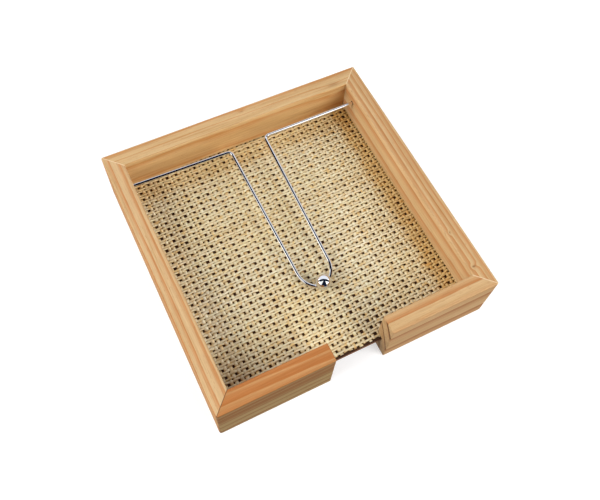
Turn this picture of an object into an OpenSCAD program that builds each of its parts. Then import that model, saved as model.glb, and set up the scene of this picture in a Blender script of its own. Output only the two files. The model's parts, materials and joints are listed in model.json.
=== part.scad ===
// Flat napkin holder: a square tray of four mitred pine sides with a finger notch in the front,
// a woven raffia floor on a hardboard panel held in grooves, and a wire arm with a ball on its
// loop, which swings up on two blind bores and keeps the napkins down by its weight.
// Millimetres. +Z is up, the notch faces -Y, and the origin is the middle of the underside.

/* [Wooden frame] */
// Outside width of the tray, left to right
frame_w = 195; // [150:1:240]
// Outside depth of the tray, front to back
frame_d = 195; // [150:1:240]
// Height of the rails
rail_h = 43; // [38:0.5:60]
// Thickness of the rails
rail_t = 12.5; // [11:0.5:16]
// Radius of the sanded long edges
edge_r = 0.8; // [0.4:0.1:1.2]
// Radius of the sanded upright corners
corner_r = 1.6; // [0.8:0.1:3]
// Width of the finger notch in the front
notch_w = 39; // [25:1:80]

/* [Floor] */
// Height of the groove's lower lip above the table
groove_z = 12.6; // [9:0.2:15]
// Depth of the groove that holds the floor
groove_depth = 6; // [4:0.5:8]
// Thickness of the hardboard panel
board_t = 3; // [2.4:0.1:4]
// Thickness of the woven raffia
liner_t = 1.4; // [0.8:0.1:2]
// Space left between the raffia and the groove's upper lip
groove_play = 0.3; // [0.1:0.1:0.6]
// Space left between the panel's edge and the bottom of the groove
board_gap = 0.7; // [0.3:0.1:1.5]
// How far the raffia stops short of the panel's edge
liner_inset = 1.2; // [0.4:0.1:2.4]

/* [Hold-down arm] */
// Diameter of the wire
wire_d = 2.4; // [1.8:0.1:3]
// From the back rail's inner face to the pivot
pivot_setback = 11.1; // [8:0.1:20]
// From the top of the rails down to the pivot
pivot_drop = 9.6; // [6:0.1:14]
// From the front rail's inner face back to the tip of the loop
loop_setback = 43.3; // [25:0.1:60]
// Width between the two legs' centre lines at the pivot
legs_w = 26.8; // [22:0.2:32]
// Lean of each leg towards the other, in degrees
leg_lean = 0.9; // [0:0.1:1.5]
// Turn of the hand-bent legs and loop to the right of square, in degrees
arm_skew = 0.95; // [0:0.05:1.5]
// Forward slant of the left crossbar, which makes up for the skew, in degrees
left_slant = 1.6; // [0:0.1:2]
// Bend radius where a leg turns out to its crossbar
shoulder_r = 3.4; // [2.5:0.1:5]
// Bend radius at the flanks of the loop
flank_r = 15; // [14.5:0.5:20]
// Bend radius at the nose of the loop
nose_r = 8; // [6:0.2:10]
// How far each pivot end reaches into its rail
pivot_hold = 5.5; // [3:0.5:7]
// Radial play of a pivot end in its bore
bore_play = 0.3; // [0.1:0.05:0.5]
// Space left between a pivot end and the bottom of its bore
bore_gap = 1; // [0.5:0.1:1.5]
// Space left between the loop and the raffia at rest
rest_gap = 0.3; // [0.2:0.1:1]

/* [Ball] */
// Diameter of the ball
ball_d = 10.7; // [8:0.1:14]
// Depth of the saddle that seats the ball on the wire
saddle = 0.8; // [0.4:0.1:1.1]
// From the tip of the loop back to the ball's middle
ball_back = 0.5; // [0:0.1:1]

/* [Corner nails] */
// Height of a V-nail
nail_h = 7; // [5:1:8]
// Length of each leg of the V
nail_leg = 5; // [3:0.5:5.5]
// Thickness of the nail's steel
nail_t = 0.6; // [0.4:0.1:1]
// How far the nails are driven below the underside
nail_set = 0.3; // [0.1:0.1:0.6]
// From the frame's outer faces in to the nail's bend
nail_in = 4; // [3:0.5:5]

/* [Hidden] */

half_w = frame_w / 2;
half_d = frame_d / 2;
inner_x = half_w - rail_t;          // inner faces of the side rails
inner_y = half_d - rail_t;          // inner faces of the front and back rails

// floor
groove_h = board_t + liner_t + groove_play;
board_w = 2 * (inner_x + groove_depth - board_gap);
board_d = 2 * (inner_y + groove_depth - board_gap);
liner_z = groove_z + board_t;
floor_z = liner_z + liner_t;        // the surface that the napkins lie on

// arm: its pivot, the place of its tip, and its slope at rest
wire_r = wire_d / 2;
pivot_y = inner_y - pivot_setback;
pivot_z = rail_h - pivot_drop;
bore_r = wire_r + bore_play;
bore_l = pivot_hold + bore_gap;
tip_y = loop_setback - inner_y;
tip_z = floor_z + rest_gap + wire_r;
arm_reach = norm([pivot_y - tip_y, pivot_z - tip_z]);
arm_slope = atan2(pivot_z - tip_z, pivot_y - tip_y);

// arm: its centre line, flat in one plane, with x across and y along the reach.
// Each leg leans in, bends on the flank radius, and meets its twin on the nose radius.
// These points are for the right half before the skew.
out = [cos(leg_lean), sin(leg_lean)];            // square to the leg, away from the middle
leg_off = legs_w / 2 * cos(leg_lean);            // from the arm's middle square out to the leg
nose_c = [0, arm_reach - nose_r];
flank_turn = acos((flank_r + nose_c.y * sin(leg_lean) - leg_off) / (flank_r - nose_r));
nose_from = leg_lean + flank_turn;               // where the flank gives way to the nose
flank_c = nose_c - (flank_r - nose_r) * [cos(nose_from), sin(nose_from)];
leg_end = flank_c + flank_r * out;
end_ease = wire_d / 8;                           // chamfer on the cut ends of the wire
lap = 0.05;                                      // a stretch stops this short of each joint,
joint_r = wire_r + 0.006;                        // which a ball a hair thicker than the wire closes

// ball: its middle, in the arm's plane and above it
ball_r = ball_d / 2;
ball_y = arm_reach - ball_back;
ball_up = ball_r + wire_r - saddle;

over = 1;                                        // cutters run this far past what they cut

pine = [0.86, 0.68, 0.46];
pine_warm = [0.84, 0.63, 0.40];

// A rectangle from the origin with its four corners rounded
module rounded_rect(w, h, r) {
    translate([r, 0]) square([w - 2 * r, h]);
    translate([0, r]) square([w, h - 2 * r]);
    for (x = [r, w - r], y = [r, h - r])
        translate([x, y]) circle(r = r, $fn = 48);
}

// Section of a rail: the outer face at x = 0, the groove cut in from the inner face
module rail_section() {
    difference() {
        rounded_rect(rail_t, rail_h, edge_r);
        translate([rail_t - groove_depth, groove_z]) square([groove_depth + over, groove_h]);
    }
}

// What a mitred rail keeps of its bar: 45 degree ends that meet the next rails,
// with half of each rounded corner. It runs past the bar's faces on both sides.
module mitre_plan(length, reach) {
    m = corner_r + over;
    intersection() {
        polygon([[-length / 2 - m, -reach - m], [length / 2 + m, -reach - m],
                 [length / 2 - rail_t - m, -reach + rail_t + m],
                 [-length / 2 + rail_t + m, -reach + rail_t + m]]);
        translate([-length / 2, -reach]) rounded_rect(length, 2 * reach, corner_r);
    }
}

// One side of the frame, standing at the front
module mitred_rail(length, reach) {
    intersection() {
        translate([-length / 2, -reach, 0])
            rotate([90, 0, 90]) linear_extrude(length) rail_section();
        translate([0, 0, -over]) linear_extrude(rail_h + 2 * over) mitre_plan(length, reach);
    }
}

// Four V shapes on the mitres, from height z up by h. Each has its bend towards the
// frame's outer corner, and a leg in each of the two rails that meet there.
module corner_vs(z, h) {
    for (sx = [0, 1], sy = [0, 1])
        mirror([sx, 0, 0]) mirror([0, sy, 0]) translate([nail_in - half_w, nail_in - half_d, z]) {
            cube([nail_leg, nail_t, h]);
            cube([nail_t, nail_leg, h]);
        }
}

// The slots that the nails press for themselves, open at the underside
module nail_slots() {
    corner_vs(-over, over + nail_set + nail_h);
}

// Blind bore in a side rail for one pivot end; side is 1 on the right and -1 on the left
module pivot_bore(side) {
    translate([side * (inner_x - over), pivot_y, pivot_z])
        rotate([0, side * 90, 0]) cylinder(r = bore_r, h = bore_l + over, $fn = 48);
}

module rail_left() {
    color(pine_warm) difference() {
        rotate([0, 0, -90]) mitred_rail(frame_d, half_w);
        pivot_bore(-1);
        nail_slots();
    }
}

module rail_right() {
    color(pine) difference() {
        rotate([0, 0, 90]) mitred_rail(frame_d, half_w);
        pivot_bore(1);
        nail_slots();
    }
}

module rail_back() {
    color(pine_warm) difference() {
        rotate([0, 0, 180]) mitred_rail(frame_w, half_d);
        nail_slots();
    }
}

// The front rail is two pieces, one on each side of the notch. This is the right one:
// the mitred rail, kept from its sawn and eased end on outwards.
module front_half() {
    difference() {
        intersection() {
            mitred_rail(frame_w, half_d);
            translate([notch_w / 2, -half_d, -over])
                linear_extrude(rail_h + 2 * over) rounded_rect(half_w, rail_t, edge_r);
            translate([notch_w / 2, -inner_y + over, 0]) rotate([90, 0, 0])
                linear_extrude(rail_t + 2 * over) rounded_rect(half_w, rail_h, edge_r);
        }
        nail_slots();
    }
}

module rail_front_left() {
    color(pine_warm) mirror([1, 0, 0]) front_half();
}

module rail_front_right() {
    color(pine) front_half();
}

module base_board() {
    color([0.36, 0.22, 0.13]) translate([-board_w / 2, -board_d / 2, groove_z])
        cube([board_w, board_d, board_t]);
}

module raffia_liner() {
    color([0.84, 0.76, 0.58])
        translate([liner_inset - board_w / 2, liner_inset - board_d / 2, liner_z])
            cube([board_w - 2 * liner_inset, board_d - 2 * liner_inset, liner_t]);
}

// A straight stretch of wire from p to q
module straight_wire(p, q) {
    translate([p.x, p.y, 0]) rotate([0, 90, atan2(q.y - p.y, q.x - p.x)])
        translate([0, 0, lap]) cylinder(d = wire_d, h = norm(q - p) - 2 * lap, $fn = 48);
}

// A bend round centre c, from angle a to angle b
module bent_wire(c, r, a, b) {
    trim = lap / r * 180 / PI;
    translate([c.x, c.y, 0]) rotate([0, 0, a + trim])
        rotate_extrude(angle = b - a - 2 * trim, $fn = 96)
            translate([r, 0]) circle(d = wire_d, $fn = 48);
}

// Closes the joint between two stretches at p, where the wire runs in direction a. The ball's
// poles lie on the wire's own line, so that only a narrow band round its waist shows.
module wire_joint(p, a) {
    translate([p.x, p.y, 0]) rotate([0, 90, a]) sphere(r = joint_r, $fn = 48);
}

// The stretch inside a bore, with its chamfered tip, from the rail's inner face out along +x
module pivot_end() {
    h = pivot_hold;
    translate([inner_x, 0, 0]) rotate([0, 90, 0]) rotate_extrude($fn = 48)
        polygon([[0, lap], [wire_r, lap], [wire_r, h - end_ease], [wire_r - end_ease, h], [0, h]]);
}

// Point p turned about the origin by angle a
function turned(p, a) = [p.x * cos(a) - p.y * sin(a), p.x * sin(a) + p.y * cos(a)];

// The middle of the shoulder bend that touches a leg turned by a, and a crossbar that slants
// forward by slant from the pivot line at the rail's inner face
function shoulder_c(a, slant) =
    let (lean = leg_lean + a,
         from_leg = leg_off + shoulder_r,
         from_bar = inner_x * sin(slant) + shoulder_r)
    [from_leg * cos(slant) - from_bar * sin(lean), from_bar * cos(lean) - from_leg * sin(slant)]
        / cos(lean + slant);

// One leg with its shoulder, crossbar and pivot end, on the +x side. The leg is turned by a, and
// the crossbar slants by slant.
module half_arm(a, slant) {
    bend_c = shoulder_c(a, slant);
    bar_start = bend_c - shoulder_r * [sin(slant), cos(slant)];
    leg_start = bend_c - shoulder_r * turned(out, a);
    pivot_end();
    wire_joint([inner_x, 0], 0);
    straight_wire(bar_start, [inner_x, 0]);
    wire_joint(bar_start, -slant);
    bent_wire(bend_c, shoulder_r, 180 + leg_lean + a, 270 - slant);
    wire_joint(leg_start, 90 + leg_lean + a);
    straight_wire(leg_start, turned(leg_end, a));
}

// The loop that joins the legs: flank, nose and flank
module loop() {
    for (side = [0, 1]) mirror([side, 0, 0]) {
        wire_joint(leg_end, 90 + leg_lean);
        bent_wire(flank_c, flank_r, leg_lean, nose_from);
        wire_joint(nose_c + nose_r * [cos(nose_from), sin(nose_from)], 90 + nose_from);
    }
    bent_wire(nose_c, nose_r, nose_from, 180 - nose_from);
}

// Turns the loop and the ball with the skewed legs
module skewed() {
    rotate([0, 0, -arm_skew]) children();
}

// Puts the arm's plane at its slope, hung on its pivot
module at_arm() {
    translate([0, pivot_y, pivot_z]) rotate([arm_slope, 0, 0]) mirror([0, 1, 0]) children();
}

module hold_down_wire() {
    color([0.80, 0.82, 0.84]) at_arm() {
        half_arm(-arm_skew, 0);
        mirror([1, 0, 0]) half_arm(arm_skew, left_slant);
        skewed() loop();
    }
}

// The ball sits on the nose of the loop, in a saddle that the wire fills
module weight_ball() {
    color([0.88, 0.89, 0.91]) at_arm() skewed() difference() {
        translate([0, ball_y, ball_up]) sphere(d = ball_d, $fn = 96);
        loop();
    }
}

module corner_v_nails() {
    color([0.62, 0.63, 0.65]) corner_vs(nail_set, nail_h);
}

rail_left();
rail_right();
rail_back();
rail_front_left();
rail_front_right();
base_board();
raffia_liner();
hold_down_wire();
weight_ball();
corner_v_nails();
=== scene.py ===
# %% [markdown]
# # Flat napkin holder: wood, raffia and bright wire
#
# The object is a square tray of mitred pine rails around a woven raffia floor. A wire arm is hinged in
# its side rails, carries a ball on its nose and holds the napkins down. The exact pieces come packed
# from the CAD model. This script gives each of them its finish, weaves the raffia, and sets up a plain
# studio. Everything is in metres, in the CAD model's own frame: +Z up, the finger notch towards -Y.

# %% Load the CAD frame
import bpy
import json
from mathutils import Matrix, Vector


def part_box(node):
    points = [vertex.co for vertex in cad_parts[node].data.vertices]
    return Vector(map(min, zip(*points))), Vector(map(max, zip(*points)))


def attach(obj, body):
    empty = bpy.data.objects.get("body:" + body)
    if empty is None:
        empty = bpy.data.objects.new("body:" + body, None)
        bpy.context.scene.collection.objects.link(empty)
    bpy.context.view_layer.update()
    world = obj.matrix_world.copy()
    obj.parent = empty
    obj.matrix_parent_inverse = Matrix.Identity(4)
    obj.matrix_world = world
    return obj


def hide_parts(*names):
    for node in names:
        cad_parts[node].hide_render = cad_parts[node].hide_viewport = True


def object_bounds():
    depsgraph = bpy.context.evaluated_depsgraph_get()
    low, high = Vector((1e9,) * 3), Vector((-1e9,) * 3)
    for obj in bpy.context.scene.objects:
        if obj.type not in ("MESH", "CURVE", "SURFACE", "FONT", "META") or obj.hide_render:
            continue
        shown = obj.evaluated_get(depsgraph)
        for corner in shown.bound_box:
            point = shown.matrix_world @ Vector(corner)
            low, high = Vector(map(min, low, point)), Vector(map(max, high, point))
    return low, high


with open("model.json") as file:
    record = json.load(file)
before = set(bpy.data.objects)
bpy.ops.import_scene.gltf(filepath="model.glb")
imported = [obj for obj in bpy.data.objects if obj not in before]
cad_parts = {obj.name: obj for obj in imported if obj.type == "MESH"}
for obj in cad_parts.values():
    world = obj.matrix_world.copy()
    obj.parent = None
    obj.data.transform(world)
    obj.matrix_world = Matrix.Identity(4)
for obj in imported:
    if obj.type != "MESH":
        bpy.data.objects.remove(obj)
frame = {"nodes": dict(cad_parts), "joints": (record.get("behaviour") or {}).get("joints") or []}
cad_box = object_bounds()
print("CAD pieces:", ", ".join(sorted(frame["nodes"])))

# %% Tools and units
import json
import math
import random

import bmesh
import bpy
from mathutils import Quaternion, Vector, noise

MM = 0.001
scene = bpy.context.scene
nodes = frame["nodes"]
sides = [(high - low) / MM for low, high in zip(*cad_box)]
print("the tray measures", " x ".join(f"{side:.0f}" for side in sides), "mm")

# %% [markdown]
# ## The camera
#
# The picture looks steeply down on the tray from its front left corner, a little rolled. A camera can be
# placed by two points, where it stands and what it aims at, and then turned about its own line of sight.
# That is easier to read and to adjust than a full rotation. The lens is short enough to show the rails
# converge, so it is a real perspective and not a long-lens look.

# %% Camera
camera_stand = Vector((-0.1109, -0.1906, 0.4362))
camera_aim = Vector((0.00484, -0.0039, 0.0))
camera_roll = math.radians(5.88)
camera_lens = 41.25
camera_sensor = 36.0
nearest_seen = 0.01

camera_data = bpy.data.cameras.new("studio_camera")
camera_data.lens = camera_lens
camera_data.sensor_width = camera_sensor
camera_data.clip_start = nearest_seen
camera = bpy.data.objects.new("studio_camera", camera_data)
scene.collection.objects.link(camera)
camera.location = camera_stand
camera.rotation_mode = "QUATERNION"
line_of_sight = (camera_aim - camera_stand).to_track_quat("-Z", "Y")
camera.rotation_quaternion = line_of_sight @ Quaternion((0, 0, 1), camera_roll)
scene.camera = camera
print(f"camera {(camera_aim - camera_stand).length:.3f} m from its aim")

# %% [markdown]
# ## Small helpers for materials
#
# Every finish here is a procedural network of shader nodes. It could be wired by hand in the node
# editor, but then nobody could read why. A few short helpers keep it readable. The first ones start a
# material, feed a socket with a number or with another node, and put the finish on a piece.

# %% Starting a finish
def start_finish(name):
    """A new material, its node tree and its shader."""
    finish = bpy.data.materials.new(name)
    finish.use_nodes = True
    tree = finish.node_tree
    return finish, tree, tree.nodes["Principled BSDF"]


def feed(tree, value, socket):
    """Links value to socket if it is a node's output, or else sets it as a constant."""
    if isinstance(value, bpy.types.NodeSocket):
        tree.links.new(value, socket)
    else:
        socket.default_value = value


def dress(piece, finish):
    """Puts one finish on a whole piece."""
    piece.data.materials.clear()
    piece.data.materials.append(finish)


print("a finish can be started, fed and put on")

# %% [markdown]
# Next comes arithmetic. Most patterns start as a distance or a height, so they are reckoned and not
# drawn: a line is where a distance is near 0, and a skin is where a depth is.

# %% Arithmetic
def calc(tree, operation, *values):
    """One Math node, with its inputs fed in order."""
    made = tree.nodes.new("ShaderNodeMath")
    made.operation = operation
    for value, socket in zip(values, made.inputs):
        feed(tree, value, socket)
    return made.outputs[0]


def distance(tree, aside, above):
    """How far a point lies from a line, from its two offsets."""
    squares = [calc(tree, "MULTIPLY", offset, offset) for offset in (aside, above)]
    return calc(tree, "SQRT", calc(tree, "ADD", *squares))


def slope(tree, value, start, end):
    """0 up to start, 1 from end, and straight between. It falls if start is above end."""
    made = tree.nodes.new("ShaderNodeMapRange")
    made.clamp = True
    made.inputs["From Min"].default_value = start
    made.inputs["From Max"].default_value = end
    tree.links.new(value, made.inputs["Value"])
    return made.outputs["Result"]


print("sockets can be reckoned with")

# %% [markdown]
# Then colour. A stain, a shadow or a worn edge takes away a share of each channel, so most variation
# multiplies the colour under it. A Color Ramp says which share, from a few stops.

# %% Colour
def ramp(tree, value, stops):
    """A Color Ramp over value. A stop is (place, grey) or (place, colour)."""
    made = tree.nodes.new("ShaderNodeValToRGB")
    elements = made.color_ramp.elements
    while len(elements) < len(stops):
        elements.new(0.5)
    for element, (place, tone) in zip(elements, stops):
        element.position = place
        element.color = (tone, tone, tone, 1) if isinstance(tone, (int, float)) else (*tone, 1)
    feed(tree, value, made.inputs["Fac"])
    return made.outputs["Color"]


def blend(tree, mode, share, first, second):
    """Mixes two colours, by one of the Mix node's modes. A fixed colour is (red, green, blue)."""
    made = tree.nodes.new("ShaderNodeMix")
    made.data_type = "RGBA"
    made.blend_type = mode
    feed(tree, share, made.inputs["Factor"])
    for colour, socket in ((first, made.inputs[6]), (second, made.inputs[7])):
        feed(tree, (*colour, 1) if isinstance(colour, tuple) else colour, socket)
    return made.outputs[2]


def tinted(tree, colour, value, stops):
    """colour, multiplied by a ramp over value."""
    return blend(tree, "MULTIPLY", 1.0, colour, ramp(tree, value, stops))


print("colours can be ramped, mixed and tinted")

# %% [markdown]
# Patterns are measured in millimetres from the object's own origin. So they keep their true scale, run
# on from one face to the next, and never slide when the arm moves. Relief too small to model is bump.

# %% Patterns and relief
def object_mm(tree):
    """The three object coordinates as separate outputs, in millimetres."""
    place = tree.nodes.new("ShaderNodeTexCoord")
    scaled = tree.nodes.new("ShaderNodeVectorMath")
    scaled.operation = "SCALE"
    scaled.inputs["Scale"].default_value = 1 / MM
    split = tree.nodes.new("ShaderNodeSeparateXYZ")
    tree.links.new(place.outputs["Object"], scaled.inputs[0])
    tree.links.new(scaled.outputs[0], split.inputs[0])
    return split.outputs


def speckle(tree, place, cells, detail=2.0, shift=0.0):
    """Noise between 0 and 1 at a place of three outputs. cells is how many go to a millimetre, each way,
    and another shift reads another part of the same endless noise."""
    joined = tree.nodes.new("ShaderNodeCombineXYZ")
    for value, fineness, socket in zip(place, cells, joined.inputs):
        tree.links.new(calc(tree, "MULTIPLY_ADD", value, fineness, shift), socket)
    made = tree.nodes.new("ShaderNodeTexNoise")
    made.inputs["Scale"].default_value = 1.0
    made.inputs["Detail"].default_value = detail
    tree.links.new(joined.outputs[0], made.inputs["Vector"])
    return made.outputs["Fac"]


def bumped(tree, height, strength, depth):
    """Raises the material's surface by height, and returns nothing."""
    made = tree.nodes.new("ShaderNodeBump")
    made.inputs["Strength"].default_value = strength
    made.inputs["Distance"].default_value = depth
    tree.links.new(height, made.inputs["Height"])
    tree.links.new(made.outputs[0], tree.nodes["Principled BSDF"].inputs["Normal"])


print("patterns are measured in steps of", MM, "m")

# %% [markdown]
# ## Pine
#
# A pine board is a slice out of a tree, so its stripes are growth rings, cut through. Painting stripes
# on each face would never line up round an edge. It is truer, and less work, to grow the tree: each
# rail gets a pith line that runs along it, somewhere beside or below the rail, and the distance from
# that line gives the ring. The same rings then show as thin lines on one face, as a broad feathered
# band on the next, and as nested curves on the sawn end. A slow noise lets the rings wander, and a fine
# one frays their edges.

# %% The tree's rings
SWAY_CELLS = (0.008, 0.030, 0.030)
RAGGED_CELLS = (0.05, 0.8, 0.8)
RAGGED_BY = 1.1
HEAVE_FIELD = 31
RAGGED_FIELD = 7


def tree_radius(tree, place, pith, climb, wander, seed):
    """How far a point lies from the pith, in mm, with the wander of a living tree. The pith lies at
    (across, up) in the middle of the rail, and climbs by that much for each mm along it."""
    along, across, up = place
    side = calc(tree, "SUBTRACT", across, pith[0])
    rise = calc(tree, "MULTIPLY_ADD", along, -climb, calc(tree, "SUBTRACT", up, pith[1]))
    sway = calc(tree, "SUBTRACT", speckle(tree, place, SWAY_CELLS, 1.0, seed), 0.5)
    heave = calc(tree, "SUBTRACT", speckle(tree, place, SWAY_CELLS, 1.0, seed + HEAVE_FIELD), 0.5)
    side = calc(tree, "MULTIPLY_ADD", sway, wander, side)
    rise = calc(tree, "MULTIPLY_ADD", heave, wander, rise)
    ragged = speckle(tree, place, RAGGED_CELLS, 3.0, seed + RAGGED_FIELD)
    return calc(tree, "MULTIPLY_ADD", ragged, RAGGED_BY, distance(tree, side, rise))


print(f"rings fray by up to {RAGGED_BY} mm")

# %% [markdown]
# A tree has fat and lean years. So a short list says how wide each ring is, how much of it is orange
# late wood, and how dark that gets. Early wood is pale. It turns to late wood slowly, which ends
# sharply at the winter. A wave texture would make every year the same, and a list doesn't.

# %% Fat and lean years
WINTER = 0.10
SPRING = 0.35


def late_wood(tree, radius, first, years, body):
    """How much late wood there is at a radius, from 0 to 1. A year is its width in mm, the share of it
    that is late wood, and how dark that gets. The years come round again at the end. body says how
    orange a ring already is where its late wood begins, and a year can name its own."""
    span = sum(year[0] for year in years)
    turn = calc(tree, "FRACT", calc(tree, "DIVIDE", calc(tree, "SUBTRACT", radius, first), span))
    stops = []
    inner = 0.0
    for width, share, depth, *own in years:
        outer = inner + width / span
        autumn = depth * (own[0] if own else body)
        stops.append((inner, SPRING * autumn))
        stops.append((outer - share * width / span, autumn))
        stops.append((outer - WINTER * width / span, depth))
        inner = outer
    return ramp(tree, turn, stops)


print(f"the last {WINTER:.0%} of a year is the fall back to pale wood")

# %% [markdown]
# A knot is a branch, cut through. The rings have to flow round it, or it looks like a spot of paint. So
# the same soft bump that darkens the knot, three times as wide, also pushes the rings aside.

# %% Knots
KNOT_REACH = 3.0
KNOT_BULGE = 1.6


def knot_share(tree, place, middle, length, width):
    """1 in the middle of a knot, and falling to 0 beyond it."""
    squares = []
    for value, centre, size in zip(place, middle, (length, width, width)):
        offset = calc(tree, "DIVIDE", calc(tree, "SUBTRACT", value, centre), size / 2)
        squares.append(calc(tree, "MULTIPLY", offset, offset))
    spread = calc(tree, "ADD", calc(tree, "ADD", squares[0], squares[1]), squares[2])
    return calc(tree, "EXPONENT", calc(tree, "MULTIPLY", spread, -1.0))


def rings_round_knots(tree, place, radius, knots):
    """The radius with the rings pushed aside, and how dark the knots are. A knot is its middle's
    along, across and up, then its length, width and tone."""
    core = 0.0
    for *middle, length, width, tone in knots:
        bulge = knot_share(tree, place, middle, length * KNOT_REACH, width * KNOT_REACH)
        radius = calc(tree, "MULTIPLY_ADD", bulge, KNOT_BULGE, radius)
        core = calc(tree, "MULTIPLY_ADD", knot_share(tree, place, middle, length, width), tone, core)
    return radius, core


print(f"a knot pushes the rings aside by {KNOT_BULGE} mm")

# %% [markdown]
# Between the rings, planed pine is never one colour. Broad patches took up more oil, streaks run along
# the grain, fibres catch the light, and short dark dashes are the resin canals. Each is a noise drawn
# out along the rail, and each reads its own part of the noise, or they would all agree.

# %% Grain
GRAIN = {
    "patches": dict(cells=(0.012, 0.09, 0.09), detail=2.0, field=3, stops=[
        (0.3, (0.93, 0.90, 0.84)), (0.7, (1.04, 1.05, 1.06))]),
    "streaks": dict(cells=(0.018, 0.75, 0.75), detail=4.0, field=27, stops=[
        (0.32, (0.91, 0.84, 0.74)), (0.50, 1.0), (0.66, (1.05, 1.07, 1.09))]),
    "fibres": dict(cells=(0.10, 4.0, 4.0), detail=3.0, field=11, stops=[
        (0.28, 0.84), (0.72, 1.10)]),
}
CANAL_CELLS = (0.30, 2.4, 2.4)
CANAL_FIELD = 19
RESIN_BROWN = (0.30, 0.14, 0.05)


def with_grain(tree, place, colour, seed):
    """The colour with its grain, and the fibres' own noise for gloss and relief."""
    marks = {}
    for name, layer in GRAIN.items():
        marks[name] = speckle(tree, place, layer["cells"], layer["detail"], seed + layer["field"])
        colour = tinted(tree, colour, marks[name], layer["stops"])
    canals = speckle(tree, place, CANAL_CELLS, 1.0, seed + CANAL_FIELD)
    dashes = ramp(tree, canals, [(0.665, 0.0), (0.73, 0.45)])
    return blend(tree, "MIX", dashes, colour, RESIN_BROWN), marks["fibres"]


print("grain in layers:", ", ".join(GRAIN), "and canals")

# %% [markdown]
# The arm turns in two blind bores. A bore seen under a bright lamp would glow like the wood around it, so
# painted shade darkens the wood inside the bore's radius, where the hole's shadow falls. The joint of the
# CAD model says where the bores run. The outermost wood gets no painted shade, because the bores are blind.

# %% The drilled bores
arm_pivot = frame["joints"][0]["pos_m"]
BORE_ALONG, BORE_UP = arm_pivot[1] / MM, arm_pivot[2] / MM
BORE_RADIUS = 1.5
CLEAN_WOOD = 3.5
BORE_END = cad_box[1][0] / MM - CLEAN_WOOD
BORE_SHADE_SHARE = 0.85
BORE_SHADE_BROWN = (0.05, 0.022, 0.010)


def bore_painted_shade(tree, place, colour):
    """The colour, with painted shade inside the arm's bore."""
    along, across, up = place
    aside = calc(tree, "SUBTRACT", along, BORE_ALONG)
    above = calc(tree, "SUBTRACT", up, BORE_UP)
    within = slope(tree, distance(tree, aside, above), BORE_RADIUS + 0.35, BORE_RADIUS + 0.05)
    drilled = slope(tree, calc(tree, "ABSOLUTE", across), BORE_END + 1, BORE_END)
    # painted shade: the wood inside the bore is darkened where the hole's shadow falls
    share = calc(tree, "MULTIPLY", calc(tree, "MULTIPLY", within, drilled), BORE_SHADE_SHARE)
    return blend(tree, "MIX", share, colour, BORE_SHADE_BROWN)


print(f"bores of {2 * BORE_RADIUS:.1f} mm, {BORE_ALONG:.1f} mm back and {BORE_UP:.1f} mm up")

# %% [markdown]
# A rail's faces don't look alike, though the tree inside is one. Sawn ends drink the oil and show their
# rings dark. On the walls the late wood is darker, on the outer walls more than on the inner ones. Each
# wall is also tinted lighter or darker, with a shift of tone, as painted light and shade for how the light
# falls on it. The surface's own direction tells which face a point is on.

# %% Ends and walls
END_SHADE = (0.94, 0.94, 0.94)
END_RING = (0.24, 0.19, 0.15)
OUTER_WALL_LATE_TONE = (0.80, 0.74, 0.68)
INNER_WALL_LATE_TONE = (0.96, 0.88, 0.78)
UNTINTED = (1, 1, 1)


def face_direction(tree):
    """Which way the surface faces, as three outputs between -1 and 1."""
    place = tree.nodes.new("ShaderNodeTexCoord")
    split = tree.nodes.new("ShaderNodeSeparateXYZ")
    tree.links.new(place.outputs["Normal"], split.inputs[0])
    return split.outputs


def end_grain(tree, colour, endways, late_share, body):
    """The colour, with dark rings on the sawn ends. With more body, a ring turns dark later."""
    on_end = ramp(tree, calc(tree, "ABSOLUTE", endways), [(0.75, 0.0), (0.95, 1.0)])
    first_dark = 0.15 + 0.75 * body
    rings = calc(tree, "MULTIPLY", on_end, slope(tree, late_share, first_dark, first_dark + 0.35))
    colour = blend(tree, "MULTIPLY", on_end, colour, END_SHADE)
    return blend(tree, "MULTIPLY", rings, colour, END_RING)


def wall_light_and_tone(tree, colour, facing, late_share, tint, late_tone):
    """The colour on the wall that facing points out of: tinted as painted light and shade, with a shift of
    tone, and darker once more on its late wood.
    """
    on_wall = ramp(tree, facing, [(0.6, 0.0), (0.95, 1.0)])
    # painted light and shade: the tint makes a whole wall lighter or darker, with a shift of tone
    colour = blend(tree, "MULTIPLY", on_wall, colour, tint)
    return blend(tree, "MULTIPLY", calc(tree, "MULTIPLY", on_wall, late_share), colour, late_tone)


print("ends and walls told apart by the way they face")

# %% [markdown]
# The solids of two rails meet at the mitre without a gap, as glued wood does, but glue and a touch of
# the saw leave a thin line. It runs where a point lies as far along as across. At the front left corner
# it has opened and looks dark. At the others it is filled with pale glue.

# %% Mitre joints
MITRE_LINE = 0.42
CORNER_SPREAD = 1 / 400
OPEN_JOINT = (0.10, 0.045, 0.02)
GLUED_JOINT = (0.72, 0.56, 0.36)


def mitre_joint(tree, place, colour, upwards):
    """The colour, with the thin line of the joint, strongest on top."""
    along, across = place[:2]
    off_line = calc(tree, "SUBTRACT", calc(tree, "ABSOLUTE", along), calc(tree, "ABSOLUTE", across))
    line = ramp(tree, calc(tree, "ABSOLUTE", off_line), [
        (0.0, 0.9), (MITRE_LINE * 0.6, 0.7), (MITRE_LINE, 0.0)])
    on_top = ramp(tree, upwards, [(0.6, 0.4), (0.95, 1.0)])
    corner = calc(tree, "MULTIPLY_ADD", calc(tree, "ADD", along, across), CORNER_SPREAD, 0.5)
    tone = ramp(tree, corner, [(0.2, OPEN_JOINT), (0.3, GLUED_JOINT)])
    return blend(tree, "MIX", calc(tree, "MULTIPLY", line, on_top), colour, tone)


print(f"mitre lines fade out {MITRE_LINE} mm from the joint")

# %% [markdown]
# Now the layers come together, from the inside out: the tree, the grain, the knots and bores, the faces
# and the joint. The oil is thin and worn, so the wood is dull, and dullest on its pale fibres. The late
# wood stands up a trace, as it does on an old planed board.

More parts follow.
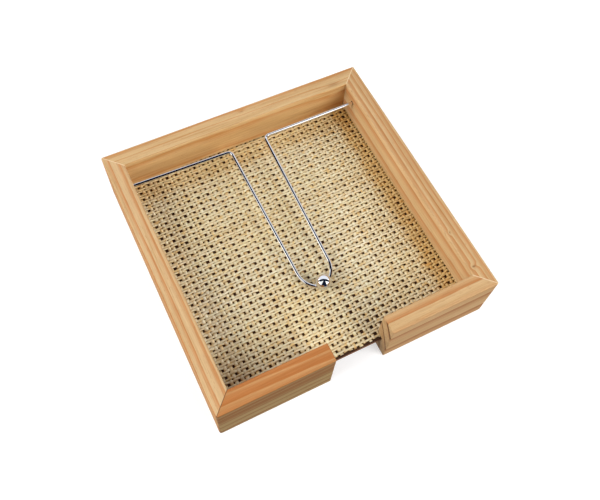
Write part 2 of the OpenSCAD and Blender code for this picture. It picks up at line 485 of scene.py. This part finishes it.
# %% Pine
ALONG_X, ALONG_Y = 0, 1
KNOT_BROWN = (0.13, 0.055, 0.02)
PINE_DULL, PINE_DULL_PLAY = 0.46, 0.18
PINE_SHEEN = 0.20
RING_RELIEF = 0.4
PINE_RELIEF, PINE_DEPTH = 0.25, 0.06 * MM


def pine(name, grain, pith, first, years, early, late, seed, outward, climb=0.0, wander=2.4,
         body=0.25, knots=(), outside=UNTINTED, inside=UNTINTED):
    """Pine whose grain runs along X or Y. pith, climb and wander are tree_radius's, and first, years and
    body are late_wood's. outward is the sign of the way that its outer wall faces."""
    finish, tree, shader = start_finish(name)
    corner = object_mm(tree)
    facing = face_direction(tree)
    place = (corner[grain], corner[1 - grain], corner[2])
    radius = tree_radius(tree, place, pith, climb, wander, seed)
    radius, core = rings_round_knots(tree, place, radius, knots)
    late_share = late_wood(tree, radius, first, years, body)

    colour = blend(tree, "MIX", late_share, early, late)
    colour, fibres = with_grain(tree, place, colour, seed)
    if knots:
        colour = blend(tree, "MIX", core, colour, KNOT_BROWN)
    if grain == ALONG_Y:
        colour = bore_painted_shade(tree, place, colour)
    colour = end_grain(tree, colour, facing[grain], late_share, body)
    for way, tint, late_tone in ((outward, outside, OUTER_WALL_LATE_TONE), (-outward, inside, INNER_WALL_LATE_TONE)):
        sideways = calc(tree, "MULTIPLY", facing[1 - grain], way)
        colour = wall_light_and_tone(tree, colour, sideways, late_share, tint, late_tone)
    colour = mitre_joint(tree, place, colour, facing[2])
    tree.links.new(colour, shader.inputs["Base Color"])

    dull = calc(tree, "MULTIPLY_ADD", fibres, PINE_DULL_PLAY, PINE_DULL)
    tree.links.new(dull, shader.inputs["Roughness"])
    shader.inputs["Specular IOR Level"].default_value = PINE_SHEEN
    relief = calc(tree, "MULTIPLY_ADD", late_share, RING_RELIEF, fibres)
    bumped(tree, relief, PINE_RELIEF, PINE_DEPTH)
    return finish


print("pine ready to cut")

# %% [markdown]
# Each rail was sawn from another part of a tree, so each gets its own pith, years and tone. The left
# rail's pith lies outside the tray, and the back and right rails' lies inside, near half their height:
# their rings stand upright, so they show as thin lines on top and as broad soft bands on the inner wall.
# The front rails' pith lies under the tray. In the front left one, three thinly lined years are followed
# by three that are mostly orange. In the front right one, broad pale years and narrow orange ones take
# turns.

# %% The five rails
# outside and inside tint the outer and inner walls: painted light and shade, with a shift of tone
RAILS = {
    "rail_left": dict(
        grain=ALONG_Y, outward=-1, pith=(-133, 12), first=48.0, seed=1.0,
        years=[(3.6, 0.50, 1.0), (4.7, 0.45, 1.0), (1.4, 0.50, 0.35), (2.6, 0.45, 0.8),
               (3.2, 0.40, 0.7), (4.4, 0.40, 0.9), (3.0, 0.45, 0.9)],
        early=(0.553, 0.388, 0.206), late=(0.466, 0.199, 0.069), outside=(1.14, 0.96, 0.76)),
    "rail_right": dict(
        grain=ALONG_Y, outward=1, pith=(48, 14), first=39.6, seed=12.0, body=0.35,
        years=[(5.9, 0.55, 0.9), (5.0, 0.50, 1.0), (3.2, 0.55, 1.0), (2.9, 0.60, 1.0),
               (3.4, 0.60, 0.9), (3.6, 0.40, 0.8)],
        early=(0.533, 0.380, 0.196), late=(0.437, 0.190, 0.067), inside=(1.14, 1.18, 1.25),
        knots=[(-80.3, 89.2, 43, 1.3, 2.4, 0.8), (-52.8, 88.1, 43, 1.2, 0.9, 0.6)]),
    "rail_back": dict(
        grain=ALONG_X, outward=1, pith=(47, 30), first=41.4, seed=23.0, wander=4.0,
        years=[(3.4, 0.35, 0.4), (2.0, 0.50, 1.0), (5.5, 0.40, 1.0), (4.6, 0.35, 0.8),
               (5.0, 0.40, 0.9), (2.3, 0.45, 0.7), (1.6, 0.50, 0.5)],
        early=(0.550, 0.378, 0.190), late=(0.466, 0.203, 0.065), inside=(1.15, 1.10, 1.00),
        knots=[(76, 88.4, 43, 9.0, 3.4, 0.35), (5, 93.5, 43, 2.4, 1.4, 0.25)]),
    "rail_front_left": dict(
        grain=ALONG_X, outward=-1, pith=(-40, -8), climb=0.03, first=57.6, seed=35.0, wander=1.8, body=0.8,
        years=[(2.7, 0.45, 1.0, 0.1), (3.2, 0.45, 1.0, 0.1), (4.1, 0.45, 1.0, 0.1), (4.6, 0.75, 1.0),
               (3.9, 0.75, 1.0), (4.4, 0.60, 0.9)],
        early=(0.480, 0.275, 0.113), late=(0.385, 0.137, 0.037), outside=(0.84, 1.02, 1.06)),
    "rail_front_right": dict(
        grain=ALONG_X, outward=-1, pith=(-19, -14), first=75.5, seed=47.0, wander=1.6, body=0.35,
        years=[(5.2, 0.35, 0.4), (2.7, 0.60, 1.0), (5.4, 0.30, 0.35), (3.3, 0.85, 1.0),
               (5.3, 0.30, 0.4), (2.9, 0.50, 0.9)],
        early=(0.525, 0.350, 0.175), late=(0.425, 0.180, 0.062), outside=(1.10, 1.06, 1.02)),
}
for rail, timber in RAILS.items():
    dress(nodes[rail], pine("pine_" + rail, **timber))
    print(rail, "cut from", len(timber["years"]), "years of growth")

# %% [markdown]
# ## The hardboard panel
#
# The floor panel is tempered hardboard: pressed wood fibre with one smooth face, stained a dark reddish
# brown, and a paler, fibrous edge where it was sawn. The face is painted darker than its stain alone, as
# painted shade for the weave's holes, which look down on it; that is what makes them read as holes. Two
# materials would need the CAD mesh to be cut in two. Height tells face and edge apart instead, because the
# face is only the topmost skin. The relief is the print of the wire mesh that the board was pressed on. A
# real board has it on its back alone, but the weave hides the face, so one relief does for both.

# %% Hardboard
board_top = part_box("base_board")[1].z / MM
BOARD_FIBRES = (0.9, 0.9, 3.0)
SKIN_DEPTH = [(0.25, 1.0), (0.45, 0.0)]
SAWN_DULL, SKIN_SMOOTHER = 0.75, -0.25
MESH_PITCH = 1.3
MESH_RELIEF = 0.6
SAWN_BROWNS = [(0.3, (0.170, 0.075, 0.035)), (0.7, (0.330, 0.155, 0.075))]
FACE_BROWNS_AND_SHADE = [(0.3, (0.034, 0.013, 0.006)), (0.7, (0.066, 0.026, 0.011))]


def hardboard():
    """Fibrous brown board with a dark, smoother skin on top."""
    finish, tree, shader = start_finish("hardboard_panel")
    x, y, z = object_mm(tree)
    fibre = speckle(tree, (x, y, z), BOARD_FIBRES, 4.0)
    skin = ramp(tree, calc(tree, "SUBTRACT", board_top, z), SKIN_DEPTH)
    # the face's browns are its dark stain, darkened further as painted shade for the weave's holes
    colour = blend(tree, "MIX", skin, ramp(tree, fibre, SAWN_BROWNS), ramp(tree, fibre, FACE_BROWNS_AND_SHADE))
    tree.links.new(colour, shader.inputs["Base Color"])
    dull = calc(tree, "MULTIPLY_ADD", skin, SKIN_SMOOTHER, SAWN_DULL)
    tree.links.new(dull, shader.inputs["Roughness"])
    shader.inputs["Specular IOR Level"].default_value = 0.25
    waves = [calc(tree, "SINE", calc(tree, "MULTIPLY", way, 2 * math.pi / MESH_PITCH)) for way in (x, y)]
    mesh_print = calc(tree, "MULTIPLY", calc(tree, "MULTIPLY", *waves), MESH_RELIEF)
    bumped(tree, calc(tree, "ADD", fibre, mesh_print), 0.5, 0.12 * MM)
    return finish


dress(nodes["base_board"], hardboard())
print(f"panel's face at {board_top:.1f} mm")

# %% [markdown]
# ## The woven raffia
#
# Raffia is split palm leaf. Flat strips, hardly one as wide as the next, are woven over and under each
# other in a coarse plain weave. Here the strips lie in pairs both ways, so a wide gap follows a narrow
# one, and every second gap of every second row is an open hole. A bump map can't show such holes, so
# each strip is a real ribbon. The warp runs along Y and the weft along X. First, a plan of where the
# middle line of each strip lies.

# %% Weave plan
weave_low, weave_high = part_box("raffia_liner")
weave_reach_x = weave_high.x
weave_reach_y = weave_high.y
weave_middle = (weave_low.z + weave_high.z) / 2
WARP_CELL, WARP_APART, WARP_WIDE = 7.05 * MM, 2.85 * MM, 2.20 * MM
WEFT_CELL, WEFT_APART, WEFT_WIDE = 4.90 * MM, 1.72 * MM, 1.26 * MM


def paired_places(cell, apart, reach):
    """The middle lines of strips that lie in pairs, one pair to a cell, each with its twin's side."""
    cells = int(reach / cell) + 1
    found = [(k * cell + side * apart / 2, -side) for k in range(-cells, cells + 1) for side in (-1, 1)]
    return [(place, twin) for place, twin in found if abs(place) < reach - apart / 2]


warp_places = paired_places(WARP_CELL, WARP_APART, weave_reach_x)
weft_places = paired_places(WEFT_CELL, WEFT_APART, weave_reach_y)
print(len(warp_places), "warp strips and", len(weft_places), "weft strips")

# %% [markdown]
# No strip is like the next. Each is cut a little wider or narrower, bulges unevenly from one crossing
# to the next, and here and there swells enough to close a hole. It also strays from its line, slowly
# and in small kinks. The kinks grow towards the right wall, where the weave has frayed. The random
# draws come from a seeded source, so the floor is the same each time.

# %% How strips differ
FAT_SHARE, FAT_BY = 0.09, 0.55
DRIFT, DRIFT_ALONG, DRIFT_ACROSS = 0.55 * MM, 35 * MM, 20 * MM
KINK, FRAYED_KINK, KINK_ALONG, KINK_STRIDE = 0.22, 0.60, 6 * MM, 3.7
FRAY_FROM = 68 * MM
DRIFT_FIELD, KINK_FIELD, FIELD_STRIDE = 1, 3, 17.3


def smooth_noise(x, y, field):
    """Slow noise between about -1 and 1, from a different field for each use."""
    return noise.noise(Vector((x, y, FIELD_STRIDE * field)))


def strip_habit(draw, wide, stations):
    """A strip's half width, and its extra bulges after each station: to its twin and to the gap, in mm."""
    half = wide / 2 * draw.uniform(0.92, 1.08)
    bulges = []
    for station in stations:
        to_twin = draw.gauss(0, 0.09)
        to_gap = draw.gauss(0, 0.10)
        bulges.append((to_twin, to_gap + (FAT_BY if draw.random() < FAT_SHARE else 0)))
    return half, bulges


def strip_middle(number, place, run, lengthways):
    """Where a strip's middle line lies at a run along it, after its drift and its kinks."""
    x = place if lengthways else run
    right_wall_share = min(1.0, max(0.0, (x - FRAY_FROM) / (weave_reach_x - FRAY_FROM)))
    kink_size = (KINK + FRAYED_KINK * right_wall_share) * MM
    drift = DRIFT * smooth_noise(run / DRIFT_ALONG, place / DRIFT_ACROSS, DRIFT_FIELD + lengthways)
    kink = kink_size * smooth_noise(run / KINK_ALONG, number * KINK_STRIDE, KINK_FIELD + lengthways)
    return place + drift + kink


print(f"{FAT_SHARE:.0%} of the spans are fat, and the weave frays from x = {FRAY_FROM / MM:.0f} mm")

# %% [markdown]
# A strip isn't as wide everywhere, either. Where it crosses the narrow gap of the other pair it is
# pinched, and where it runs free it spreads. So the gaps beside a pair's own seam open and close in
# turn: the wide holes stay open, the small ones between them nearly shut, and the seam of a weft pair
# only shows as a dent every 7 mm. Meanwhile the strip climbs over one neighbour and dives under the
# next, as a cosine wave.

# %% One strip's course
SPREAD_WARP = {"wide": (0.0, 0.08), "narrow": (-0.16, 0.20)}
SPREAD_WEFT = {"wide": (0.24, -0.15), "narrow": (-0.24, 0.20)}
NARROW_WARP, NARROW_WEFT = 2.3 * MM, 3.3 * MM
FULLNESS, FULLNESS_PLAY, FULLNESS_CELL, FULLNESS_FIELD = 0.10, 0.24, 45 * MM, 5
WAVE = 0.27 * MM
STEPS = 4


def strip_rings(number, place, crossings, reach, wide, lengthways, draw):
    """For each step along a strip: its run, its middle line, its two half widths and its height."""
    stations = [-reach] + [crossing for crossing, twin in crossings] + [reach]
    half, bulges = strip_habit(draw, wide, stations)
    spread = SPREAD_WARP if lengthways else SPREAD_WEFT
    narrow = NARROW_WARP if lengthways else NARROW_WEFT
    rings = []
    for span in range(len(stations) - 1):
        length = stations[span + 1] - stations[span]
        twin_spread, gap_spread = spread["narrow" if length < narrow else "wide"]
        is_last = span == len(stations) - 2
        for step in range(STEPS + is_last):
            share = step / STEPS
            run = stations[span] + length * share
            free = math.sin(math.pi * share)
            x, y = (place, run) if lengthways else (run, place)
            fuller = FULLNESS + FULLNESS_PLAY * smooth_noise(
                x / FULLNESS_CELL, y / FULLNESS_CELL, FULLNESS_FIELD)
            to_twin = half + free * (twin_spread + bulges[span][0]) * MM
            to_gap = half + free * (gap_spread + bulges[span][1] + fuller) * MM
            height = math.cos(math.pi * (span - 1 + share + number)) * WAVE
            middle = strip_middle(number, place, run, lengthways)
            rings.append((run, middle, to_twin, to_gap, -height if lengthways else height))
    return rings


print(f"{STEPS} steps to a crossing, {WAVE / MM:.2f} mm up and down")

# %% [markdown]
# A ribbon starts as a flat grid, two faces wide, with one row of points for each step of its course.
# The points are then moved to their rings, the middle ones a little higher, because a leaf is domed.
# Each point keeps how near the edge it is and its strip's own tone, for the material to read. At the
# walls the strips end unevenly: END_CUT says how many mm may be missing, and less than 0 is longer.

# %% One ribbon
LEAF_CROWN = 0.13 * MM
END_CUT = (-0.7, 1.1)


def lay_strip(bm, layers, rings, twin, lengthways, draw):
    """One ribbon, from a flat grid with one row of points for each ring."""
    ends = [draw.uniform(*END_CUT) * MM for end in range(2)]
    rings[0] = (rings[0][0] + ends[0], *rings[0][1:])
    rings[-1] = (rings[-1][0] - ends[1], *rings[-1][1:])
    rows = len(rings) - 1
    grid = bmesh.ops.create_grid(bm, x_segments=2, y_segments=rows, size=1.0)["verts"]
    tone = draw.random()
    for vert in grid:
        run, middle, to_twin, to_gap, height = rings[round((vert.co.y + 1) / 2 * rows)]
        edge = vert.co.x
        across = middle + edge * (to_twin if edge * twin > 0 else to_gap)
        up = weave_middle + height + LEAF_CROWN * (0.5 - abs(edge))
        vert[layers["edge"]] = abs(edge)
        vert[layers["tone"]] = tone
        vert.co = (across, run, up) if lengthways else (run, across, up)


print(f"a leaf is domed by {LEAF_CROWN / MM:.2f} mm")

# %% [markdown]
# All the strips that run one way go into one mesh. solidify then gives them the thickness of the leaf
# at once, and smooth faces make the waves round. Where a strip of one set dives, the strip of the other
# set climbs, and that is all that weaving is.

# %% Weaving the floor
LEAF_THICK = 0.34 * MM
WARP_SEED, WEFT_SEED = 5, 9


def piece_from(bm, name):
    """Turns a bmesh into an object of the scene, at the origin, and frees the bmesh."""
    mesh = bpy.data.meshes.new(name)
    bm.to_mesh(mesh)
    bm.free()
    piece = bpy.data.objects.new(name, mesh)
    scene.collection.objects.link(piece)
    return piece


def weave_set(name, places, crossings, reach, wide, lengthways, seed):
    """All the strips that run one way, as one mesh."""
    draw = random.Random(seed)
    bm = bmesh.new()
    layers = {kind: bm.verts.layers.float.new("strip_" + kind) for kind in ("edge", "tone")}
    for number, (place, twin) in enumerate(places):
        rings = strip_rings(number, place, crossings, reach, wide, lengthways, draw)
        lay_strip(bm, layers, rings, twin, lengthways, draw)
    bmesh.ops.solidify(bm, geom=bm.faces[:], thickness=LEAF_THICK)
    bmesh.ops.recalc_face_normals(bm, faces=bm.faces[:])
    for face in bm.faces:
        face.smooth = True
    piece = piece_from(bm, name)
    print(name, len(piece.data.polygons) * 2, "triangles")
    return piece


raffia_warp = weave_set(
    "raffia_warp", warp_places, weft_places, weave_reach_y, WARP_WIDE, True, WARP_SEED)
raffia_weft = weave_set(
    "raffia_weft", weft_places, warp_places, weave_reach_x, WEFT_WIDE, False, WEFT_SEED)

# %% [markdown]
# ## The leaf's colour
#
# The dry leaf is straw coloured on its crests, and golden brown down in the hollows as painted shade, which
# stands in for the shadow and the warm light bounced there. So height gives the first colour. The rims are
# painted browner, as shade where one strip meets the next, no two strips have the same tone, and golden
# patches and fine ribs run along each.

# %% Strip colours
WARP_CREST, WEFT_CREST = (0.735, 0.660, 0.480), (0.690, 0.600, 0.412)
WARP_EDGE_SHADE, WEFT_EDGE_SHADE = (0.82, 0.66, 0.42), (0.90, 0.80, 0.62)
HOLLOW_PAINTED_SHADE = [(0.0, (0.36, 0.220, 0.085)), (0.25, (0.57, 0.430, 0.225)), (0.5, (0.67, 0.560, 0.360))]
STRIP_TONES = [(0.0, (0.90, 0.86, 0.78)), (0.5, 1.0), (0.8, (1.04, 1.06, 1.0)), (1.0, (1.08, 1.08, 1.1))]
PATCH_TONES = [(0.32, (0.98, 0.78, 0.50)), (0.44, (1.0, 0.95, 0.87)), (0.66, (1.03, 1.05, 1.06))]
PATCH_CELLS = (0.22, 0.35, 0.0)


def carried(tree, name):
    """What the mesh's own points carry under a name."""
    made = tree.nodes.new("ShaderNodeAttribute")
    made.attribute_name = name
    return made.outputs["Fac"]


def strip_colour(tree, run_place, lengthways):
    """The colour of one strip: painted shade in its hollows and at its rim, then its own tone and its
    patches.
    """
    low, high = (weave_middle - WAVE) / MM, (weave_middle + WAVE) / MM
    lift = calc(tree, "DIVIDE", calc(tree, "SUBTRACT", run_place[2], low), high - low)
    crest, rim = (WARP_CREST, WARP_EDGE_SHADE) if lengthways else (WEFT_CREST, WEFT_EDGE_SHADE)
    # painted shade: lower points and the strip's rim are darker, where shade falls
    colour = ramp(tree, lift, HOLLOW_PAINTED_SHADE + [(1.0, crest)])
    colour = tinted(tree, colour, carried(tree, "strip_edge"), [(0.70, 1.0), (0.99, rim)])
    colour = tinted(tree, colour, carried(tree, "strip_tone"), STRIP_TONES)
    return tinted(tree, colour, speckle(tree, run_place, PATCH_CELLS), PATCH_TONES)


print("strips coloured from", len(HOLLOW_PAINTED_SHADE) + 1, "heights and", len(STRIP_TONES), "tones")

# %% [markdown]
# Age shows on the floor as a whole. Some fields bleached more than others. Along the right wall and the
# back wall the leaf is painted more golden, as painted shade from the walls with warm light bounced from
# the wood. Both borders wander, because a straight one would look painted.

# %% The floor as a whole
FIELD_TONES = [(0.36, (0.99, 0.97, 0.93)), (0.50, 1.0), (0.62, (1.01, 1.03, 1.08))]
FIELD_CELLS = (0.020, 0.020, 0.0)
RIB_CELLS = (0.25, 6.0, 2.0)
BORDER_WANDER = 14.0
BORDER_SCALE = 1 / 100
BY_RIGHT_WALL = dict(cells=(0.0, 0.06, 0.0), shift=8.0, start=76, end=84)
BY_BACK_WALL = dict(cells=(0.06, 0.0, 0.0), shift=4.0, start=71, end=80)
RIGHT_WALL_SHADE = (0.96, 0.80, 0.54)
BACK_WALL_SHADE = (0.99, 0.91, 0.76)
LEAF_DULL, LEAF_DULL_PLAY = 0.38, 0.25
LEAF_RELIEF, LEAF_DEPTH = 0.35, 0.06 * MM


def wandering_border(tree, place, towards, cells, shift, start, end):
    """0 on the floor and 1 along one wall. It rises from start to end, in mm, less the wander. A ramp's
    stops lie between 0 and 1, so all is scaled to that first."""
    play = speckle(tree, place, cells, shift=shift)
    reach = calc(tree, "MULTIPLY_ADD", play, BORDER_WANDER, towards)
    stops = [(start * BORDER_SCALE, 0.0), (end * BORDER_SCALE, 1.0)]
    return ramp(tree, calc(tree, "MULTIPLY", reach, BORDER_SCALE), stops)


def raffia_leaf(name, lengthways):
    """Dry palm leaf, with ribs that run along the strip."""
    finish, tree, shader = start_finish(name)
    x, y, z = place = object_mm(tree)
    run_place = (y, x, z) if lengthways else (x, y, z)
    colour = strip_colour(tree, run_place, lengthways)
    colour = tinted(tree, colour, speckle(tree, place, FIELD_CELLS, 1.0, 3.0), FIELD_TONES)
    # painted shade and warm bounced light: the leaf is more golden along the right and back walls
    right_wall_share = wandering_border(tree, place, x, **BY_RIGHT_WALL)
    colour = blend(tree, "MULTIPLY", right_wall_share, colour, RIGHT_WALL_SHADE)
    back_wall_share = wandering_border(tree, place, y, **BY_BACK_WALL)
    colour = blend(tree, "MULTIPLY", back_wall_share, colour, BACK_WALL_SHADE)
    ribs = speckle(tree, run_place, RIB_CELLS, shift=5.0)
    colour = tinted(tree, colour, ribs, [(0.3, 0.93), (0.7, 1.04)])
    tree.links.new(colour, shader.inputs["Base Color"])
    dull = calc(tree, "MULTIPLY_ADD", ribs, LEAF_DULL_PLAY, LEAF_DULL)
    tree.links.new(dull, shader.inputs["Roughness"])
    bumped(tree, ribs, LEAF_RELIEF, LEAF_DEPTH)
    return finish


dress(raffia_warp, raffia_leaf("raffia_leaf_warp", True))
dress(raffia_weft, raffia_leaf("raffia_leaf_weft", False))
print("leaf on", raffia_warp.name, "and", raffia_weft.name)

# %% [markdown]
# Both sets of strips stand for the plain sheet of the CAD model, which is hidden, and ride on the tray.

# %% The strips take the plain sheet's place
for strips in (raffia_warp, raffia_weft):
    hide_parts("raffia_liner")
    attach(strips, "tray")

# %% [markdown]
# ## Bright wire, ball and nails
#
# The arm and its ball are plated with chrome. Chrome has no colour of its own to speak of, so its look is
# all in what it mirrors, and a perfect mirror reads as a computer picture. A faint unevenness in the
# tint and the roughness stands for the drawn wire and for handling. The nails under the mitres are plain
# steel, and duller.

# %% Metal
SMEAR_CELLS = (0.35, 0.35, 0.35)
SMEAR_SHADE = 0.93


def plated(name, tint, roughness, play):
    """Metal whose roughness lies between roughness and roughness + play."""
    finish, tree, shader = start_finish(name)
    smear = speckle(tree, object_mm(tree), SMEAR_CELLS, 3.0)
    shade = tuple(channel * SMEAR_SHADE for channel in tint)
    shader.inputs["Metallic"].default_value = 1.0
    tree.links.new(ramp(tree, smear, [(0.3, shade), (0.7, tint)]), shader.inputs["Base Color"])
    tree.links.new(calc(tree, "MULTIPLY_ADD", smear, play, roughness), shader.inputs["Roughness"])
    return finish


METALS = {
    "hold_down_wire": dict(name="chromed_wire", tint=(0.86, 0.87, 0.89), roughness=0.03, play=0.06),
    "weight_ball": dict(name="chromed_ball", tint=(0.88, 0.89, 0.91), roughness=0.02, play=0.04),
    "corner_v_nails": dict(name="bright_steel", tint=(0.55, 0.56, 0.58), roughness=0.30, play=0.20),
}
for node, recipe in METALS.items():
    dress(nodes[node], plated(**recipe))
    print(node, "in", recipe["name"])

# %% [markdown]
# ## The studio
#
# The picture is a product shot with almost no shadow: a pale table, two large soft lamps, and a pale
# backdrop behind it all. The table is hidden from diffuse and glossy rays, so that it neither lights
# the wood from below nor shows as a flat patch in the chrome. The backdrop is a huge sphere, turned
# inside out, which only the camera sees. The standard view transform keeps colours as they are and
# lets the table go white.

# %% Table and backdrop
scene.view_settings.view_transform = "Standard"
TABLE_REACH = 4.0
BACKDROP_RADIUS = 9.0


def plain_finish(name, **sockets):
    """A material without a pattern, for the studio. A socket's name is written with underscores."""
    finish, _, shader = start_finish(name)
    for socket, value in sockets.items():
        shader.inputs[socket.replace("_", " ")].default_value = value
    return finish


bm = bmesh.new()
bmesh.ops.create_grid(bm, x_segments=1, y_segments=1, size=TABLE_REACH)
table = piece_from(bm, "studio_table")
table.visible_diffuse = False
table.visible_glossy = False
dress(table, plain_finish("studio_white", Base_Color=(0.55, 0.55, 0.55, 1), Roughness=0.9,
                          Emission_Color=(1, 1, 1, 1), Emission_Strength=0.55))

bm = bmesh.new()
bmesh.ops.create_uvsphere(bm, u_segments=48, v_segments=24, radius=BACKDROP_RADIUS)
bmesh.ops.reverse_faces(bm, faces=bm.faces[:])
backdrop = piece_from(bm, "studio_backdrop")
backdrop.visible_diffuse = False
backdrop.visible_glossy = False
backdrop.visible_transmission = False
backdrop.visible_shadow = False
dress(backdrop, plain_finish("studio_pale_grey", Base_Color=(0.0, 0.0, 0.0, 1), Specular_IOR_Level=0.0,
                             Emission_Color=(0.90, 0.90, 0.91, 1), Emission_Strength=1.0))
print(f"a table {2 * TABLE_REACH:.0f} m across and a backdrop {BACKDROP_RADIUS:.0f} m away")

# %% [markdown]
# The lamps are two equal disks, each a metre wide: one to the left, and one in front to the right. Wide
# lamps make soft shadows. They are hidden from glossy rays, because the chrome gets its own soft boxes
# in the next step, in the places where it shows them best.

# %% Lamps
LAMP_WIDE = 1.0
LAMP_WATTS = 11.5


def soft_lamp(name, stand):
    """A wide round lamp that aims at the middle of the table."""
    lamp = bpy.data.lights.new(name, "AREA")
    lamp.shape = "DISK"
    lamp.size = LAMP_WIDE
    lamp.energy = LAMP_WATTS
    placed = bpy.data.objects.new(name, lamp)
    placed.location = stand
    placed.visible_glossy = False
    placed.rotation_mode = "QUATERNION"
    placed.rotation_quaternion = (-Vector(stand)).to_track_quat("-Z", "Y")
    scene.collection.objects.link(placed)
    print(name, f"{Vector(stand).length:.2f} m away")


soft_lamp("box_left", (-0.97, 0.10, 0.70))
soft_lamp("box_front_right", (0.56, -0.80, 0.70))

# %% [markdown]
# ## The room that chrome mirrors
#
# Chrome shows the room, so the room has to be painted, and the easiest way to paint one is the way a
# mirror ball shows it. The direction half way between a ray and the line to where the main camera
# stands is the normal that a ball would have there, so it gives a place on the ball's picture:
# rightness u and upness v, from -1 to 1. That line is a fixed direction of the room. It doesn't follow
# the camera, so the room stands still when the view moves.

# %% The room, on a mirror ball
BALL_MIDDLE = Vector((0.0019, -0.0412, 0.0225))
room = bpy.data.worlds.new("studio_room")
scene.world = room
room.use_nodes = True
room_tree = room.node_tree


def on_vectors(operation, first, second=None):
    """One vector node of the room. Its second input is a constant."""
    made = room_tree.nodes.new("ShaderNodeVectorMath")
    made.operation = operation
    room_tree.links.new(first, made.inputs[0])
    if second is not None:
        made.inputs[1].default_value = second
    return made.outputs["Value" if operation == "DOT_PRODUCT" else "Vector"]


to_camera = (camera_stand - BALL_MIDDLE).normalized()
look = room_tree.nodes.new("ShaderNodeTexCoord").outputs["Generated"]
half_way = on_vectors("NORMALIZE", on_vectors("ADD", look, to_camera))
u = on_vectors("DOT_PRODUCT", half_way, camera.rotation_quaternion @ Vector((1, 0, 0)))
v = on_vectors("DOT_PRODUCT", half_way, camera.rotation_quaternion @ Vector((0, 1, 0)))
rise = on_vectors("DOT_PRODUCT", look, Vector((0, 0, 1)))
print(f"the ball looks {math.degrees(math.asin(to_camera.z)):.0f} degrees up to the camera's place")

# %% [markdown]
# Bright metal needs something dark to mirror beside the white. On the ball's picture the dark gap
# between the two soft boxes is a wedge that widens downwards, and a dark seam bows over both boxes.

# %% Gap and seam
GAP_TOP = 0.25
GAP_RIGHT, GAP_RIGHT_WIDENS = 0.13, 0.46
GAP_LEFT, GAP_LEFT_WIDENS = 0.03, 0.45
SEAM_TOP, SEAM_TOP_BOWS = 0.43, -0.42
SEAM_FOOT, SEAM_FOOT_FALLS = 0.21, -0.27
GAP_EDGE = (-0.015, 0.015)
SEAM_TOP_EDGE, SEAM_FOOT_EDGE = (-0.01, 0.02), (-0.02, 0.01)

below_top = calc(room_tree, "SUBTRACT", GAP_TOP, v)
gap_right = calc(room_tree, "MULTIPLY_ADD", below_top, GAP_RIGHT_WIDENS, GAP_RIGHT)
gap_left = calc(room_tree, "MULTIPLY_ADD", below_top, GAP_LEFT_WIDENS, GAP_LEFT)
in_from_right = slope(room_tree, calc(room_tree, "SUBTRACT", gap_right, u), *GAP_EDGE)
in_from_left = slope(room_tree, calc(room_tree, "ADD", gap_left, u), *GAP_EDGE)
gap = calc(room_tree, "MULTIPLY", in_from_right, in_from_left)

bow = calc(room_tree, "MULTIPLY", u, u)
seam_top = calc(room_tree, "MULTIPLY_ADD", bow, SEAM_TOP_BOWS, SEAM_TOP)
seam_foot = calc(room_tree, "MULTIPLY_ADD", calc(room_tree, "ABSOLUTE", u), SEAM_FOOT_FALLS, SEAM_FOOT)
under_top = slope(room_tree, calc(room_tree, "SUBTRACT", seam_top, v), *SEAM_TOP_EDGE)
over_foot = slope(room_tree, calc(room_tree, "SUBTRACT", v, seam_foot), *SEAM_FOOT_EDGE)
seam = calc(room_tree, "MULTIPLY", under_top, over_foot)
dark = calc(room_tree, "MAXIMUM", gap, seam)
print(f"gap {GAP_LEFT + GAP_RIGHT:.2f} wide at its top, seam {SEAM_TOP - SEAM_FOOT:.2f} high in its middle")

# %% [markdown]
# The soft boxes are white, and much brighter out at the ball's sides. Above the seam is the pale back
# of the room, and below the horizon is a grey floor. Each border is a short slope and not a hard edge,
# because a real box glows a little past its frame.

# %% Soft boxes, back and floor
BOX_WHITE = (1.10, 1.10, 1.10)
LEFT_GLARE = (3.2, 3.2, 3.2)
RIGHT_GLARE = (1.9, 1.9, 1.9)
BACK_PALE = (0.92, 0.95, 1.03)
GAP_DARK = (0.006, 0.010, 0.026)
FLOOR_GREY = (0.34, 0.34, 0.35)
LEFT_GLARE_EDGE, RIGHT_GLARE_EDGE = (-0.43, -0.50), (0.23, 0.29)
BACK_EDGE = (0.34, 0.40)
HORIZON = (0.02, -0.02)

room_paint = blend(room_tree, "MIX", slope(room_tree, u, *LEFT_GLARE_EDGE), BOX_WHITE, LEFT_GLARE)
room_paint = blend(room_tree, "MIX", slope(room_tree, u, *RIGHT_GLARE_EDGE), room_paint, RIGHT_GLARE)
room_paint = blend(room_tree, "MIX", slope(room_tree, v, *BACK_EDGE), room_paint, BACK_PALE)
room_paint = blend(room_tree, "MIX", dark, room_paint, GAP_DARK)
room_paint = blend(room_tree, "MIX", slope(room_tree, rise, *HORIZON), room_paint, FLOOR_GREY)
walls = room_tree.nodes["Background"]
room_tree.links.new(room_paint, walls.inputs["Color"])
walls.inputs["Strength"].default_value = 1.0
print("room painted with", len(room_tree.nodes), "nodes")
